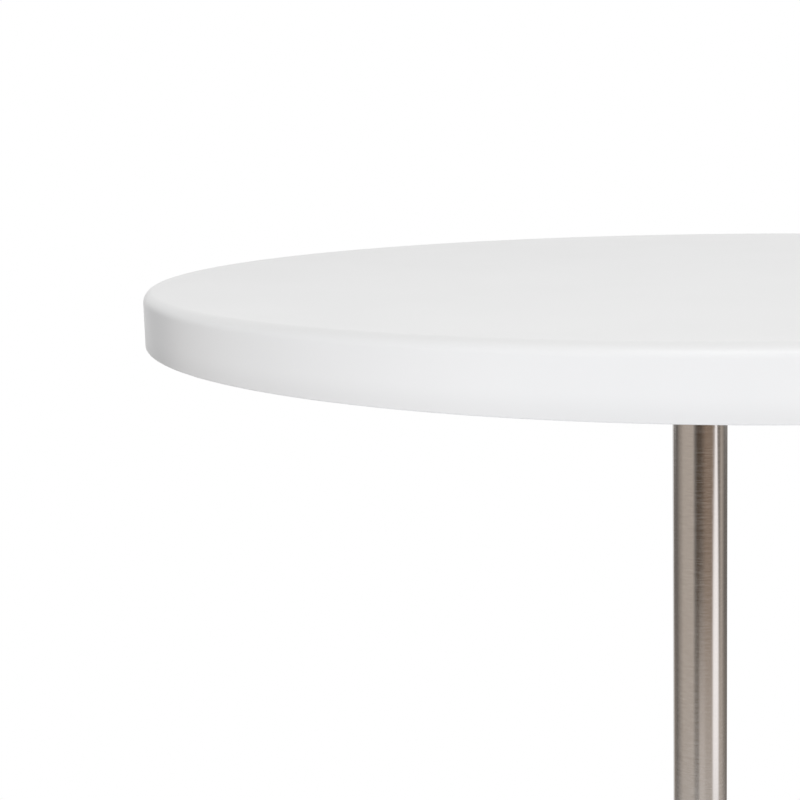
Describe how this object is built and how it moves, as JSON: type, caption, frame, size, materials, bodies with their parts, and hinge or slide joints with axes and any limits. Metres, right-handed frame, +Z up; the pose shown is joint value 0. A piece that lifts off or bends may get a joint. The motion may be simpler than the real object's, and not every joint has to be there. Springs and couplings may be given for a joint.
{
  "type": "round pedestal table",
  "caption": "Round white pedestal table: a thick soft-edged top on one slender brushed steel column and a weighted disc base with screw glides for levelling.",
  "frame": {"origin": "on the floor, on the column's axis, with the glides at their middle setting", "axes": "+Z up along the column; +X towards the collar's set screw, half way between two glides"},
  "size_m": [0.6, 0.6, 0.73],
  "materials": {
    "white_lacquer": "white satin lacquer on a solid fibreboard disc",
    "brushed_steel": "stainless steel brushed around the axis",
    "plain_steel": "turned steel",
    "zinc_steel": "zinc-plated steel",
    "black_steel": "black powder coat on steel",
    "brass": "machined brass",
    "black_nylon": "moulded black nylon"
  },
  "bodies": {
    "table": {"table_top": "white_lacquer", "top_inserts": "brass", "top_plate": "black_steel", "plate_screws": "zinc_steel", "column_tube": "brushed_steel", "upper_bush": "plain_steel", "lower_bush": "plain_steel", "tie_rod": "zinc_steel", "upper_washer": "zinc_steel", "upper_lock_washer": "zinc_steel", "upper_nut": "zinc_steel", "lower_washer": "zinc_steel", "lower_lock_washer": "zinc_steel", "lower_nut": "zinc_steel", "base_cover": "brushed_steel", "base_weight": "black_steel", "column_collar": "brushed_steel", "collar_set_screw": "zinc_steel"},
    "glide_1": {"glide_stud_1": "zinc_steel", "glide_pad_1": "black_nylon"},
    "glide_2": {"glide_stud_2": "zinc_steel", "glide_pad_2": "black_nylon"},
    "glide_3": {"glide_stud_3": "zinc_steel", "glide_pad_3": "black_nylon"},
    "glide_4": {"glide_stud_4": "zinc_steel", "glide_pad_4": "black_nylon"}
  },
  "joints": [
    {"name": "glide_1_travel", "type": "slide", "parent": "table", "child": "glide_1", "axis": [0, 0, -1], "range_m": [-0.0025, 0.008]},
    {"name": "glide_2_travel", "type": "slide", "parent": "table", "child": "glide_2", "axis": [0, 0, -1], "range_m": [-0.0025, 0.008]},
    {"name": "glide_3_travel", "type": "slide", "parent": "table", "child": "glide_3", "axis": [0, 0, -1], "range_m": [-0.0025, 0.008]},
    {"name": "glide_4_travel", "type": "slide", "parent": "table", "child": "glide_4", "axis": [0, 0, -1], "range_m": [-0.0025, 0.008]}
  ]
}
